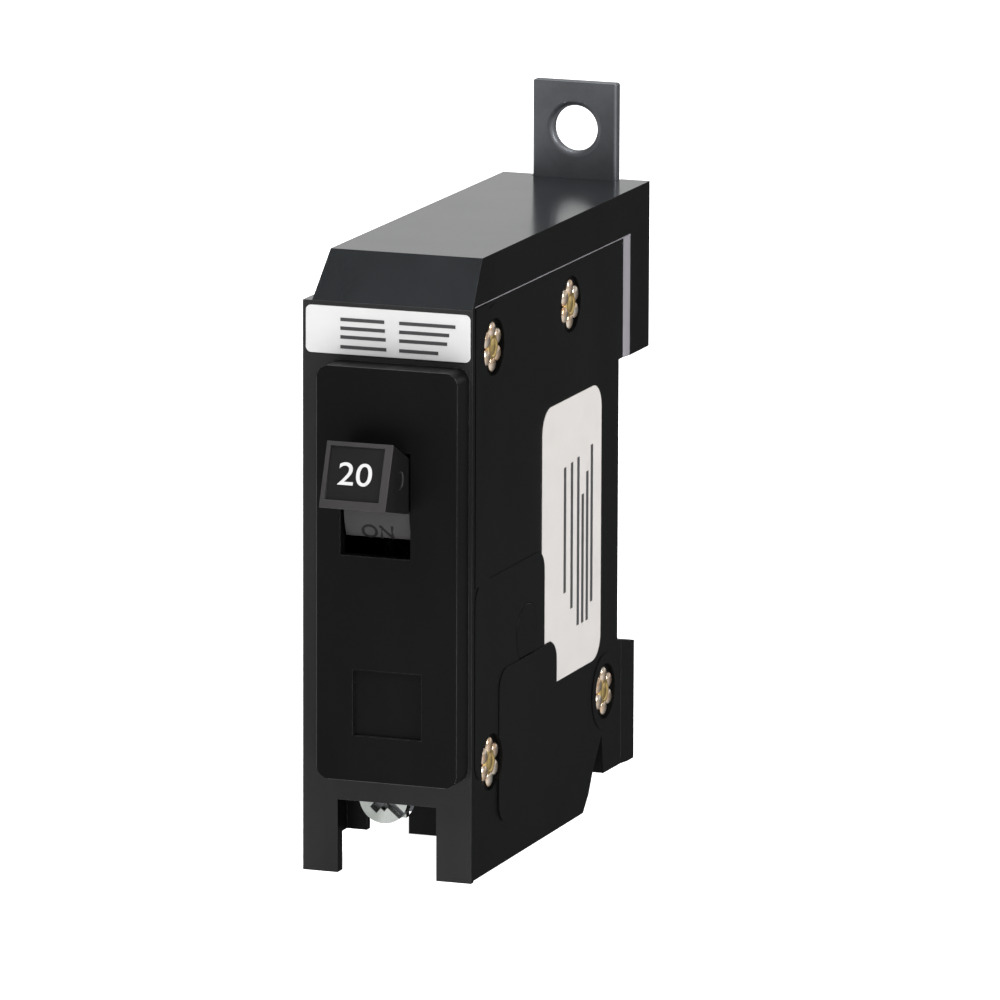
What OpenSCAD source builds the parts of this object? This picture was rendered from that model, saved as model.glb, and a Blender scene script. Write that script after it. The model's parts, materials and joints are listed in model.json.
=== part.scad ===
// Single-pole bolt-on circuit breaker, one-inch pole pitch.
// X across the case (cover side is +X), Y to the back, Z up. The case stands on its feet at Z = 0.

/* [Case] */
// width of the case across the front
case_w = 25.4; // [24:0.1:27]
// height of the front shoulder under the nose
shoulder_z = 82; // [78:0.5:86]
// height of the flat top of the nose
top_z = 88.8; // [85:0.2:94]
// depth of the sloping front of the nose
slope_d = 3.9; // [2:0.1:6]
// back face of the main body
back_y = 61.8; // [56:0.2:66]
// back face of the nose
nose_y = 73.8; // [70:0.2:78]
// underside of the nose overhang
nose_z = 64.4; // [60:0.2:68]
// thickness of the front wall
front_t = 1.9; // [1.5:0.1:3]
// thickness of the left side wall
side_t = 2.5; // [1.8:0.1:3.5]
// thickness of the side cover plate
cover_t = 2.95; // [1.6:0.05:3.2]
// height of the rim round the cover above its face
rim_h = 0.35; // [0.3:0.05:0.8]
// back edge of the cover where it meets the rim
rim_y = 63.45; // [62:0.05:66]
// width of the slanting face of the rim at the back
rim_slant = 2; // [1:0.1:3]

/* [Front panel] */
// how far the raised panel stands out
panel_d = 4.7; // [3:0.1:6]
// left edge of the raised panel
panel_x0 = -8.8; // [-11:0.1:-7]
// right edge of the raised panel
panel_x1 = 12.2; // [10:0.1:12.6]
// bottom edge of the raised panel
panel_z0 = 14.6; // [12:0.1:18]
// top edge of the raised panel
panel_z1 = 73.8; // [68:0.2:74]
// corner radius of the panel
panel_r = 1.8; // [0.5:0.1:3]
// width of the handle slot
slot_w = 10.5; // [10.4:0.1:12]
// lower end of the handle slot
slot_z0 = 46.9; // [44:0.1:48]
// upper end of the handle slot
slot_z1 = 62; // [60:0.1:63]

/* [Feet and terminal opening] */
// half width of the notch between the feet
notch_hw = 7.45; // [6:0.05:8.5]
// height of the notch in the front wall
notch_z = 10.6; // [9:0.1:12]
// underside of the terminal guide blocks
block_z = 5.6; // [5:0.1:8]

/* [Handle] */
// handle pivot, distance behind the front shoulder
pivot_y = 4.8; // [4:0.1:6]
// handle pivot height
pivot_z = 53.7; // [50:0.1:56]
// handle tilt above horizontal when on
handle_tilt = 20; // [15:1:22]
// pivot to the end face of the grip
grip_len = 18.03; // [15:0.05:20]
// height of the grip's end face
grip_h = 9.5; // [8:0.1:10]
// width of the handle
handle_w = 9.9; // [8:0.1:10]
// radius of the curved skirt
skirt_r = 9; // [8:0.1:9.8]
// half angle of the curved skirt
skirt_half = 48; // [40:1:50]
// radius of the handle trunnions
trunnion_r = 2; // [1.5:0.05:2.5]

/* [Line tongue] */
// width of the tongue
tongue_w = 12.9; // [11:0.1:14]
// tongue centre line, sideways from the middle
tongue_x = 1.65; // [-2:0.05:2]
// top of the tongue
tongue_z = 103.1; // [98:0.1:108]
// thickness of the tongue
tongue_t = 1.8; // [1.2:0.1:2.4]
// height of the bolt hole
hole_z = 96.1; // [92:0.1:99]
// radius of the bolt hole
hole_r = 3.35; // [2.5:0.05:4]

/* [Mechanism] */
// contact arm pivot, distance behind the front
arm_y = 17; // [16:0.1:18]
// contact arm pivot height
arm_z = 58; // [57:0.1:59]
// width of the contact arm
arm_w = 5; // [4:0.1:6]
// radius of the contact arm pin
arm_pin_r = 1.25; // [1:0.05:1.5]
// centre of the contacts, distance behind the front
contact_y = 45; // [44:0.1:46]
// cradle pivot, distance behind the front
cradle_y = 19; // [18:0.1:20]
// cradle pivot height
cradle_z = 45; // [44:0.1:46]
// radius of the cradle pin
cradle_pin_r = 1; // [0.8:0.05:1.3]
// armature pivot, distance behind the front
armature_y = 37.2; // [37:0.1:38]
// armature pivot height
armature_z = 27.5; // [27:0.1:29]
// number of arc plates
arc_n = 6; // [4:1:6]
// spacing of the arc plates
arc_pitch = 2.8; // [2.4:0.1:3]

/* [Terminal] */
// terminal screw, sideways from the middle
screw_x = -1.1; // [-1.5:0.1:1]
// height of the terminal screw
screw_z = 11; // [10:0.1:12]
// radius of the terminal screw shank
screw_r = 2; // [1.5:0.05:2.2]
// radius of the terminal screw head
head_r = 3.7; // [3:0.1:4]

/* [Hidden] */
$fn = 48;
half_w = case_w / 2;
row_y = -(nose_y - 13.8) / 2;
inner_x0 = -half_w + side_t;
floor_x = half_w - rim_h;
inner_x1 = floor_x - cover_t;
seam = 0.1;
fit = 0.05;
rivets = [[9.3, 75.3], [41.2, 76.0], [56.35, 16.3], [8.65, 15.8]];
rivet_r = 1.5;
rivet_recess_r = 4.1;
rivet_recess_d = 0.5;
boss_r = 3.3;
strap_z = 67.3;
plug_y = 23;
plug_z = 31.6;
plug_r = 4.3;

module placed() {
    translate([0, row_y, 0]) children();
}

module yz(x0, x1) {
    translate([x0, 0, 0]) rotate([90, 0, 90]) linear_extrude(x1 - x0) children();
}

module box(x0, x1, y0, y1, z0, z1) {
    translate([x0, y0, z0]) cube([x1 - x0, y1 - y0, z1 - z0]);
}

module pin_x(y, z, r, x0, x1) {
    translate([x0, y, z]) rotate([0, 90, 0]) cylinder(h = x1 - x0, r = r);
}

module pin_y(x, z, r, y0, y1) {
    translate([x, y0, z]) rotate([-90, 0, 0]) cylinder(h = y1 - y0, r = r);
}

module pin_z(x, y, r, z0, z1) {
    translate([x, y, z0]) cylinder(h = z1 - z0, r = r);
}

module round_rect(a0, a1, b0, b1, r) {
    translate([a0 + r, b0]) square([a1 - a0 - 2 * r, b1 - b0]);
    translate([a0, b0 + r]) square([a1 - a0, b1 - b0 - 2 * r]);
    translate([a0 + r, b0 + r]) circle(r);
    translate([a1 - r, b0 + r]) circle(r);
    translate([a0 + r, b1 - r]) circle(r);
    translate([a1 - r, b1 - r]) circle(r);
}

// square-section coil along Z, centred on its axis
module coil(r, wire, turns, length) {
    pitch = length / turns;
    span = 360 * wire / pitch;
    linear_extrude(length, twist = -360 * turns, slices = 12 * turns, segments = 8)
        polygon([
            for (i = [0:3]) (r + wire / 2) * [cos(span * i / 3), sin(span * i / 3)],
            for (i = [3:-1:0]) (r - wire / 2) * [cos(span * i / 3), sin(span * i / 3)]
        ]);
}

// ---------- case ----------

module outline() {
    polygon([
        [0, 0], [47.4, 0], [49.7, 2.3], [51.6, 5.5], [55.2, 10], [56, 4.1], [68.2, 3.9],
        [68.2, 21.6], [back_y, 22.8], [back_y, nose_z], [nose_y, nose_z], [nose_y, top_z],
        [slope_d, top_z], [0, shoulder_z]
    ]);
}

// side opening of the base, closed by the cover
module cover_opening(gap) {
    difference() {
        polygon([
            [front_t + gap, -1], [rim_y - gap, -1], [rim_y - gap, shoulder_z - gap],
            [front_t + gap, shoulder_z - gap]
        ]);
        rim_corner(gap);
    }
}

// slanting faces of the base where it stands above the cover
module rim_slants() {
    far = half_w + 1;
    rise = 1 / rim_h;
    intersection() {
        translate([0, 0, -1]) linear_extrude(shoulder_z + 4) polygon([
            [far, front_t - 1.2 * (1 + rise) + 1.2], [floor_x, front_t], [floor_x, rim_y],
            [far, rim_y + rim_slant * (1 + rise)]
        ]);
        translate([0, -1, 0]) rotate([90, 0, 0]) mirror([0, 0, 1]) linear_extrude(80) polygon([
            [floor_x, -2], [floor_x, shoulder_z], [far, shoulder_z + 1 + rim_h], [far, -2]
        ]);
    }
}

module rim_corner(gap) {
    difference() {
        translate([rim_y - 2, shoulder_z - 2]) square(3);
        translate([rim_y - 2 - gap, shoulder_z - 2 - gap]) circle(2);
    }
}

module cavity_profile() {
    polygon([
        [front_t + 0.3, 24], [11.1, 24], [11.1, 18], [46, 18], [50, 24], [58.8, 24], [58.8, 70.6],
        [70.4, 70.6], [70.4, 86], [6, 86], [front_t + 0.3, 79]
    ]);
}

module raised_panel() {
    translate([0, 0.1, 0]) rotate([90, 0, 0]) linear_extrude(panel_d + 0.1)
        round_rect(panel_x0, panel_x1, panel_z0, panel_z1, panel_r);
}

module terminal_space() {
    // channel between the front feet, open to the left behind them
    box(-notch_hw, notch_hw, -1, 44, -1, block_z);
    box(-half_w - 1, notch_hw, front_t, 41, -1, block_z);
    box(-notch_hw, notch_hw, -1, front_t + 0.1, -1, notch_z);
    // room for the screw head
    box(-notch_hw, notch_hw, front_t, 3.7, -1, 15.4);
    pin_y(screw_x, screw_z, head_r + 0.4, 1.1, front_t + 0.1);
    // wire space between and behind the guide plates, with room for the screw end
    box(-4.4, 1.9, 3.6, 5, -1, 15.2);
    pin_y(screw_x, screw_z, head_r + 0.35, 3.6, 5);
    box(-notch_hw, notch_hw, 4.9, 22, block_z - 0.1, 15.2);
    box(-notch_hw, notch_hw, 11, 22, block_z - 0.1, 18.1);
}

module base_shell() {
    color([0.05, 0.05, 0.055]) placed() difference() {
        union() {
            difference() {
                union() {
                    yz(-half_w, half_w) outline();
                    raised_panel();
                }
                yz(inner_x1, half_w + 1) cover_opening(0);
                yz(inner_x0, inner_x1 + 1) cavity_profile();
                box(-7, 10.4, -panel_d + 1.8, front_t + 0.4, 34, 70);
            }
            for (p = rivets) pin_x(p[0], p[1], boss_r, inner_x0 - 1, inner_x1);
            pin_x(pivot_y, pivot_z, boss_r, inner_x0 - 1, -handle_w / 2 - 0.35);
        }
        terminal_space();
        for (p = rivets) pin_x(p[0], p[1], rivet_r + fit, -half_w - 1, half_w + 1);
        for (p = rivets) pin_x(p[0], p[1], rivet_recess_r, -half_w - 1, -half_w + 0.9);
        pin_x(pivot_y, pivot_z, trunnion_r + fit, -9.2, 0);
        // handle slot and square recess
        box(-slot_w / 2, slot_w / 2, -panel_d - 1, -1, slot_z0, slot_z1);
        box(-3.4, 6.95, -panel_d - 1, -panel_d + 0.6, 21.1, 30.65);
        // inset left side of the nose
        translate([0, -1, 0]) rotate([90, 0, 0]) mirror([0, 0, 1]) linear_extrude(80) polygon([
            [-half_w - 1, shoulder_z], [-11.3, shoulder_z], [-10, top_z + 0.1], [-half_w - 1, top_z + 0.1]
        ]);
        rim_slants();
        // channel for the line tongue and slot for its inner leg
        box(tongue_x - tongue_w / 2 - seam, tongue_x + tongue_w / 2 + seam,
            nose_y - 0.1 - tongue_t - seam, nose_y + 1, strap_z - seam, top_z + 1);
        box(tongue_x - tongue_w / 2 - seam, tongue_x + tongue_w / 2 + seam,
            58, nose_y + 1, strap_z - seam, strap_z + tongue_t + seam);
        // vents
        for (z = [50, 53.5, 57]) box(-5, 5, 58, back_y + 1, z, z + 1.4);
    }
}

module pad_front() {
    round_rect(front_t + seam, 30.35, 14, 42.4, 3);
}

module pad_low() {
    round_rect(11.45, 35.15, 6.1, 28.3, 3);
}

module front_strip() {
    strip_y = front_t + seam;
    translate([strip_y, 42]) square([7.4 - strip_y, 39.8]);
    intersection() {
        translate([rivets[0][0], rivets[0][1]]) circle(6);
        translate([strip_y, 60]) square([20, shoulder_z - seam - 60]);
    }
}

module side_cover() {
    color([0.05, 0.05, 0.055]) placed() difference() {
        union() {
            yz(inner_x1, floor_x) intersection() {
                outline();
                cover_opening(seam);
            }
            yz(floor_x - 0.1, floor_x + 0.15) front_strip();
            yz(floor_x - 0.1, floor_x + 0.15) pad_front();
            yz(floor_x - 0.1, floor_x + 0.3) pad_low();
            yz(floor_x - 0.1, floor_x + 0.15) intersection() {
                translate([rivets[2][0], rivets[2][1]]) circle(5.6);
                outline();
                cover_opening(seam);
            }
            pin_x(pivot_y, pivot_z, boss_r, handle_w / 2 + 0.35, inner_x1 + 0.1);
        }
        for (p = rivets) pin_x(p[0], p[1], rivet_r + fit, 0, half_w + 1);
        for (p = rivets) pin_x(p[0], p[1], rivet_recess_r, floor_x - rivet_recess_d, half_w + 1);
        pin_x(pivot_y, pivot_z, trunnion_r + fit, 0, 9.2);
        yz(floor_x - 0.5, half_w + 1) difference() {
            translate([plug_y, plug_z]) circle(plug_r + seam);
            pad_low();
        }
    }
}

module calibration_plug() {
    color([0.07, 0.07, 0.075]) placed() yz(floor_x - 0.5, floor_x + 0.25) difference() {
        translate([plug_y, plug_z]) circle(plug_r);
        round_rect(11.45 - seam, 35.15 + seam, 6.1, 28.3 + seam, 3 + seam);
    }
}

module case_rivets() {
    color([0.78, 0.66, 0.42]) placed() for (p = rivets) {
        pin_x(p[0], p[1], rivet_r, -half_w + 0.3, floor_x - 0.1);
        pin_x(p[0], p[1], 3.3, -half_w + 0.3, -half_w + 0.9);
        pin_x(p[0], p[1], 2.2, floor_x - rivet_recess_d, floor_x + 0.2);
        for (a = [30:60:330])
            translate([0, p[0], p[1]]) rotate([a, 0, 0])
                pin_x(2.6, 0, 0.95, floor_x - rivet_recess_d, floor_x + 0.1);
    }
}

module front_label() {
    color([0.87, 0.87, 0.87]) placed() rotate([90, 0, 0]) linear_extrude(0.12)
        round_rect(-12.2, 12.4, 74.6, 81.35, 0.8);
}

module side_label() {
    color([0.83, 0.82, 0.80]) placed() yz(floor_x, floor_x + 0.12) difference() {
        round_rect(29.35, 54.15, 21.9, 62.5, 3.6);
        round_rect(0, 30.35 + seam, 14, 42.4 + seam, 3);
        round_rect(11.45, 35.15 + seam, 6.1, 28.3 + seam, 3);
    }
}

// ---------- handle ----------

module handle_profile() {
    difference() {
        union() {
            intersection() {
                circle(skirt_r);
                polygon([[0, 0], [-13, 13 * tan(skirt_half)], [-13, -13 * tan(skirt_half)]]);
            }
            circle(5);
        }
        // notch for the toe of the contact arm
        rotate(handle_tilt - 0.6) translate([2.9, -1.5]) square([4, 3]);
    }
    polygon([[-8.6, -3.5], [-grip_len, -grip_h / 2], [-grip_len, grip_h / 2], [-8.6, 3.7]]);
}

module handle() {
    color([0.16, 0.155, 0.155]) placed() translate([0, pivot_y, pivot_z]) {
        rotate([-handle_tilt, 0, 0]) difference() {
            yz(-handle_w / 2, handle_w / 2) handle_profile();
            // shallow inset of the end face, set a little up and to the left
            box(-handle_w / 2 + 0.65, handle_w / 2 - 1.2, -grip_len - 1, -grip_len + 0.35,
                -grip_h / 2 + 1.2, grip_h / 2 - 0.6);
            pin_x(-13.6, 0.5, 1.3, handle_w / 2 - 0.2, handle_w / 2 + 1);
        }
        pin_x(0, 0, trunnion_r, -8.9, -handle_w / 2 + 0.1);
        pin_x(0, 0, trunnion_r, handle_w / 2 - 0.1, 8.9);
    }
}

// ---------- line side ----------

module line_strap() {
    tongue_y1 = nose_y - 0.1;
    tongue_y0 = tongue_y1 - tongue_t;
    color([0.45, 0.46, 0.47]) placed() difference() {
        union() {
            box(tongue_x - tongue_w / 2, tongue_x + tongue_w / 2, tongue_y0, tongue_y1, strap_z, tongue_z);
            box(tongue_x - tongue_w / 2, tongue_x + tongue_w / 2, 57.9, tongue_y1, strap_z, strap_z + tongue_t);
            box(-3.5, 3.5, 42, 58, strap_z, strap_z + tongue_t);
        }
        pin_y(tongue_x, hole_z, hole_r, tongue_y0 - 1, tongue_y1 + 1);
        translate([tongue_x, tongue_y0 - 0.01, hole_z]) rotate([-90, 0, 0])
            cylinder(h = 0.5, r1 = hole_r + 0.5, r2 = hole_r);
    }
}

module fixed_contact() {
    color([0.8, 0.8, 0.78]) placed() pin_z(0, contact_y, 2.3, strap_z - 1.2, strap_z);
}

module line_barrier() {
    color([0.55, 0.42, 0.3]) placed() box(-8.5, 8, 43, 58.2, strap_z + tongue_t, strap_z + tongue_t + 0.8);
}

// ---------- moving contact ----------

module contact_arm() {
    color([0.72, 0.45, 0.3]) placed() difference() {
        union() {
            yz(-arm_w / 2, arm_w / 2) {
                translate([arm_y, arm_z]) circle(3);
                polygon([
                    [arm_y - 0.5, arm_z + 2.8], [41, 64.6], [48.3, 64.6], [48.3, 62.6], [41.5, 62.6],
                    [arm_y + 1, arm_z - 1.6]
                ]);
            }
            // toe that sits in the notch of the handle
            translate([0, arm_y, arm_z]) rotate([29.4, 0, 0])
                yz(-arm_w / 2, arm_w / 2) {
                    translate([-8.62, -0.8]) square([7, 1.6]);
                    translate([-8.62, 0]) circle(1);
                }
        }
        pin_x(arm_y, arm_z, arm_pin_r + fit, -arm_w, arm_w);
    }
}

module moving_contact() {
    color([0.8, 0.8, 0.78]) placed() pin_z(0, contact_y, 2.1, 64.6, strap_z - 1.2 - 0.3);
}

module arm_pin() {
    color([0.6, 0.6, 0.6]) placed() pin_x(arm_y, arm_z, arm_pin_r, -6.2, 6.2);
}

// ---------- trip mechanism ----------

module mechanism_frame() {
    color([0.62, 0.6, 0.52]) placed() difference() {
        union() {
            for (x = [-5.7, 4.5]) yz(x, x + 1.2)
                polygon([[14, 53], [14, 60.5], [16, 62.5], [21, 62.5], [33, 50], [33, 38], [16, 38], [14, 41]]);
            box(-5.7, 5.7, 15.5, 32, 38, 39.2);
            box(inner_x0, -5.6, 19, 25, 38, 39.2);
            box(5.6, inner_x1, 19, 25, 38, 39.2);
        }
        pin_x(arm_y, arm_z, arm_pin_r, -7, 7);
        pin_x(cradle_y, cradle_z, cradle_pin_r, -7, 7);
    }
}

module cradle() {
    color([0.6, 0.58, 0.52]) placed() difference() {
        yz(-1.6, 1.6) {
            translate([cradle_y, cradle_z]) circle(2.4);
            polygon([
                [cradle_y, cradle_z - 2.2], [33, 42.8], [36, 43.6], [36, 45.4], [33, 46.6],
                [cradle_y, cradle_z + 2.2]
            ]);
        }
        pin_x(cradle_y, cradle_z, cradle_pin_r + fit, -3, 3);
    }
}

module cradle_pin() {
    color([0.6, 0.6, 0.6]) placed() pin_x(cradle_y, cradle_z, cradle_pin_r, -6.2, 6.2);
}

module toggle_spring() {
    color([0.65, 0.65, 0.62]) placed() {
        translate([0, 28, 48]) coil(1.7, 0.6, 6, 9.6);
        pin_z(0, 28, 0.3, 46.85, 48.3);
        box(-0.3, 1.9, 27.7, 28.3, 48, 48.5);
        pin_z(0, 28, 0.3, 57.2, 58.95);
        box(-0.3, 1.9, 27.7, 28.3, 57.1, 57.6);
    }
}

module flexible_braid() {
    rope_r = 0.9;
    bend_r = 2.5;
    color([0.7, 0.42, 0.28]) placed() {
        pin_z(0, 37.5, rope_r, 55.5, 61.2);
        translate([0, 37.5 + bend_r, 55.5]) rotate([0, 90, 0]) rotate([0, 0, 180])
            mirror([1, 0, 0]) rotate_extrude(angle = 90) translate([bend_r, 0]) circle(rope_r);
        pin_y(0, 55.5 - bend_r, rope_r, 40, 40.9);
        translate([0, 40.9, 50.5]) rotate([0, -90, 0]) rotate_extrude(angle = 90) translate([bend_r, 0]) circle(rope_r);
        pin_z(0, 43.4, rope_r, 45.5, 50.5);
    }
}

module bimetal() {
    color([0.66, 0.62, 0.55]) placed() {
        box(-3, 3, 41.5, 42.0, 19.6, 47.6);
        box(-3, 3, 42.0, 42.5, 19.6, 47.6);
    }
}

module bimetal_rivets() {
    color([0.72, 0.6, 0.4]) placed() for (z = [21.5, 24.2]) pin_y(0, z, 0.9, 39.4, 39.9);
}

module magnet_yoke() {
    color([0.4, 0.41, 0.42]) placed() {
        box(-5.3, 5.3, 43.2, 44.4, 26, 36);
        for (x = [-5.3, 4.1]) box(x, x + 1.2, 39.4, 43.3, 26, 36);
        box(-2, 2, 42.5, 43.3, 28, 34);
    }
}

module armature() {
    color([0.42, 0.43, 0.44]) placed() difference() {
        union() {
            box(-4.8, 4.8, 36.6, 37.8, armature_z, 37);
            box(-3, 3, 36.6, 37.8, 36, 47);
            box(-3, 3, 36.35, 37.8, 45.8, 47);
            pin_x(armature_y, armature_z, 1.4, -4.8, 4.8);
        }
        pin_x(armature_y, armature_z, 0.8 + fit, -6, 6);
    }
}

module armature_pin() {
    color([0.6, 0.6, 0.6]) placed() pin_x(armature_y, armature_z, 0.8, inner_x0, inner_x1);
}

module armature_spring() {
    color([0.65, 0.65, 0.62]) placed() translate([0, 37.85, 41]) rotate([-90, 0, 0]) coil(1.2, 0.4, 3, 3.6);
}

// ---------- arc chamber ----------

module arc_plates() {
    color([0.35, 0.36, 0.37]) placed() for (i = [0:arc_n - 1])
        translate([0, 0, 47 + i * arc_pitch]) linear_extrude(1) difference() {
            translate([-7.5, 44.8]) square([15, 12]);
            translate([-4.5, 44]) square([9, 5.5]);
            translate([0, 49.5]) circle(4.5);
        }
}

module arc_chute_walls() {
    color([0.72, 0.62, 0.5]) placed() for (x = [-8.5, 7.5]) box(x, x + 1, 44.4, 57.4, 44, 65);
}

module arc_vent_baffle() {
    color([0.72, 0.62, 0.5]) placed() difference() {
        box(-8.5, 8.5, 57.8, 58.8, 44, 65);
        for (z = [51.7, 55.2]) box(-5.5, 5.5, 57, 60, z, z + 1);
    }
}

// ---------- load side ----------

module load_strap() {
    color([0.72, 0.45, 0.3]) placed() difference() {
        union() {
            box(-5.5, 3.9, 11.2, 12.8, 7, 19.6);
            box(-5.5, 3.9, 11.2, 41.5, 18, 19.6);
            box(-3, 3, 39.5, 42.5, 18, 19.6);
            box(-3, 3, 39.9, 41.5, 18, 25.5);
            box(2.7, 3.9, 18.5, 26.5, 18, 36);
        }
        pin_y(screw_x, screw_z, screw_r + 0.06, 10, 14);
        pin_x(plug_y, plug_z, 1.5 + fit, 2, 5);
    }
}

module clamp_plate() {
    color([0.7, 0.71, 0.72]) placed() difference() {
        box(-4, 1.6, 3.5, 4.7, 7.9, 14.2);
        pin_y(screw_x, screw_z, screw_r + 0.06, 3, 5);
    }
}

module terminal_screw() {
    color([0.8, 0.82, 0.8]) placed() difference() {
        union() {
            pin_y(screw_x, screw_z, head_r, 1.4, 3.4);
            pin_y(screw_x, screw_z, screw_r, 3.3, 15);
        }
        translate([screw_x, 0, screw_z]) rotate([0, 40, 0]) {
            box(-head_r - 1, head_r + 1, 1, 2.5, -0.55, 0.55);
            box(-0.6, 0.6, 1, 2.7, -2.3, 2.3);
            box(-1.3, 1.3, 1, 2.3, -1.3, 1.3);
        }
    }
}

module calibration_screw() {
    color([0.72, 0.62, 0.4]) placed() difference() {
        union() {
            pin_x(plug_y, plug_z, 3, 7.2, 9);
            pin_x(plug_y, plug_z, 1.5, inner_x0, 7.3);
        }
        box(8.4, 9.5, plug_y - 4, plug_y + 4, plug_z - 0.5, plug_z + 0.5);
    }
}

base_shell();
side_cover();
case_rivets();
front_label();
side_label();
calibration_plug();
handle();
line_strap();
fixed_contact();
line_barrier();
contact_arm();
moving_contact();
arm_pin();
mechanism_frame();
cradle();
cradle_pin();
toggle_spring();
flexible_braid();
bimetal();
bimetal_rivets();
magnet_yoke();
armature();
armature_pin();
armature_spring();
arc_plates();
arc_chute_walls();
arc_vent_baffle();
load_strap();
clamp_plate();
terminal_screw();
calibration_screw();
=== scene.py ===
import json
import math

import bmesh
import bpy
from mathutils import Matrix, Vector

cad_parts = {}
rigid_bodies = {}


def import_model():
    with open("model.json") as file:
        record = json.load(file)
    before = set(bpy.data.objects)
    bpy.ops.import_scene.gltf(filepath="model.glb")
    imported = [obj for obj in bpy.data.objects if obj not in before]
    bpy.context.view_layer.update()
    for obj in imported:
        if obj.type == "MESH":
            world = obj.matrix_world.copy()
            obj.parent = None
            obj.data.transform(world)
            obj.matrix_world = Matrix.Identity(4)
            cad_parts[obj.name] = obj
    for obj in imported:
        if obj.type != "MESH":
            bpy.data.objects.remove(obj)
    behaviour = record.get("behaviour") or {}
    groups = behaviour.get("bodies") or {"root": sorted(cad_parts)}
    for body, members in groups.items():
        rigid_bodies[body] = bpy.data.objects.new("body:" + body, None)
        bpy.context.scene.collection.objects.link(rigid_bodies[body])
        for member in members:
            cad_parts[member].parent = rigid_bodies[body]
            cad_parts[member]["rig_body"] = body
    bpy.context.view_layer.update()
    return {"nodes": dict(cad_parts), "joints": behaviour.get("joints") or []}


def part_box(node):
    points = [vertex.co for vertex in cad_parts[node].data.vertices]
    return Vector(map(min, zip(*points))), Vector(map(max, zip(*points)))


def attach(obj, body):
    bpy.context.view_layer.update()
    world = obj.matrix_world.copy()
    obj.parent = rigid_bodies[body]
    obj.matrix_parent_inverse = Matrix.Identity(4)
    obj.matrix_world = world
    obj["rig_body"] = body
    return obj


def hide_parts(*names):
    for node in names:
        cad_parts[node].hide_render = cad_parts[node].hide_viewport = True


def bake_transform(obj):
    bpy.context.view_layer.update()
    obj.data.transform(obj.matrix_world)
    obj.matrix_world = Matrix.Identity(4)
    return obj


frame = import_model()

bl_info = {
    "name": "Bolt-on Circuit Breaker",
    "version": (1, 0, 0),
    "blender": (4, 5, 0),
    "location": "View3D > Sidebar > Breaker",
    "description": "Builds the finished pieces and the stage of a single-pole circuit breaker",
    "category": "Object",
}

MM = 0.001
MATERIALS = {}
GRAIN_BUMP = 0.03 * MM
LABEL_FILM = 0.12 * MM
PRINT_FILM = 0.03 * MM
SHARP_ANGLE = 25.0

# ---------- sizes read from the frame ----------


def joint_named(name):
    return next(j for j in frame["joints"] if j["name"] == name)


def separate_boxes(node):
    """Boxes of the loose parts of a node, sorted by height, as (low, high)."""
    bm = bmesh.new()
    bm.from_mesh(frame["nodes"][node].data)
    bmesh.ops.remove_doubles(bm, verts=bm.verts, dist=1e-6)
    left = set(bm.verts)
    boxes = []
    while left:
        stack = [left.pop()]
        low = Vector(stack[0].co)
        high = Vector(stack[0].co)
        while stack:
            v = stack.pop()
            low = Vector(map(min, low, v.co))
            high = Vector(map(max, high, v.co))
            for e in v.link_edges:
                w = e.other_vert(v)
                if w in left:
                    left.remove(w)
                    stack.append(w)
        boxes.append((low, high))
    bm.free()
    return sorted(boxes, key=lambda b: b[0].z)


# ---------- shader helpers ----------


def shader(name, **sockets):
    material = bpy.data.materials.new(name)
    material.use_nodes = True
    principled = material.node_tree.nodes["Principled BSDF"]
    for key, value in sockets.items():
        principled.inputs[key.replace("_", " ")].default_value = value
    MATERIALS[name] = material
    return material.node_tree, principled


def node_in(tree, kind, **settings):
    node = tree.nodes.new(kind)
    for key, value in settings.items():
        if key in node.inputs:
            node.inputs[key].default_value = value
        else:
            setattr(node, key, value)
    return node


def object_noise(tree, scale, detail=4.0, stretch=(1, 1, 1), roughness=0.55):
    coords = node_in(tree, "ShaderNodeTexCoord")
    mapping = node_in(tree, "ShaderNodeMapping", Scale=stretch)
    noise = node_in(tree, "ShaderNodeTexNoise", Scale=scale, Detail=detail, Roughness=roughness)
    tree.links.new(coords.outputs["Object"], mapping.inputs["Vector"])
    tree.links.new(mapping.outputs["Vector"], noise.inputs["Vector"])
    return noise.outputs["Fac"]


def span(tree, fac, low, high, start=0.3, end=0.7):
    ranged = node_in(tree, "ShaderNodeMapRange")
    ranged.inputs["From Min"].default_value = start
    ranged.inputs["From Max"].default_value = end
    ranged.inputs["To Min"].default_value = low
    ranged.inputs["To Max"].default_value = high
    tree.links.new(fac, ranged.inputs["Value"])
    return ranged.outputs["Result"]


def blend_colours(tree, fac, first, second):
    mix = node_in(tree, "ShaderNodeMix", data_type="RGBA")
    for socket, value in ((mix.inputs[6], first), (mix.inputs[7], second)):
        if isinstance(value, bpy.types.NodeSocket):
            tree.links.new(value, socket)
        else:
            socket.default_value = (*value[:3], 1)
    tree.links.new(fac, mix.inputs[0])
    return mix.outputs[2]


def add_bump(tree, principled, height, strength, distance):
    bump = node_in(tree, "ShaderNodeBump", Strength=strength, Distance=distance)
    tree.links.new(height, bump.inputs["Height"])
    tree.links.new(bump.outputs["Normal"], principled.inputs["Normal"])


def shaded(colour, amount):
    """A colour made lighter or darker by one factor."""
    return tuple(channel * amount for channel in colour)


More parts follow.
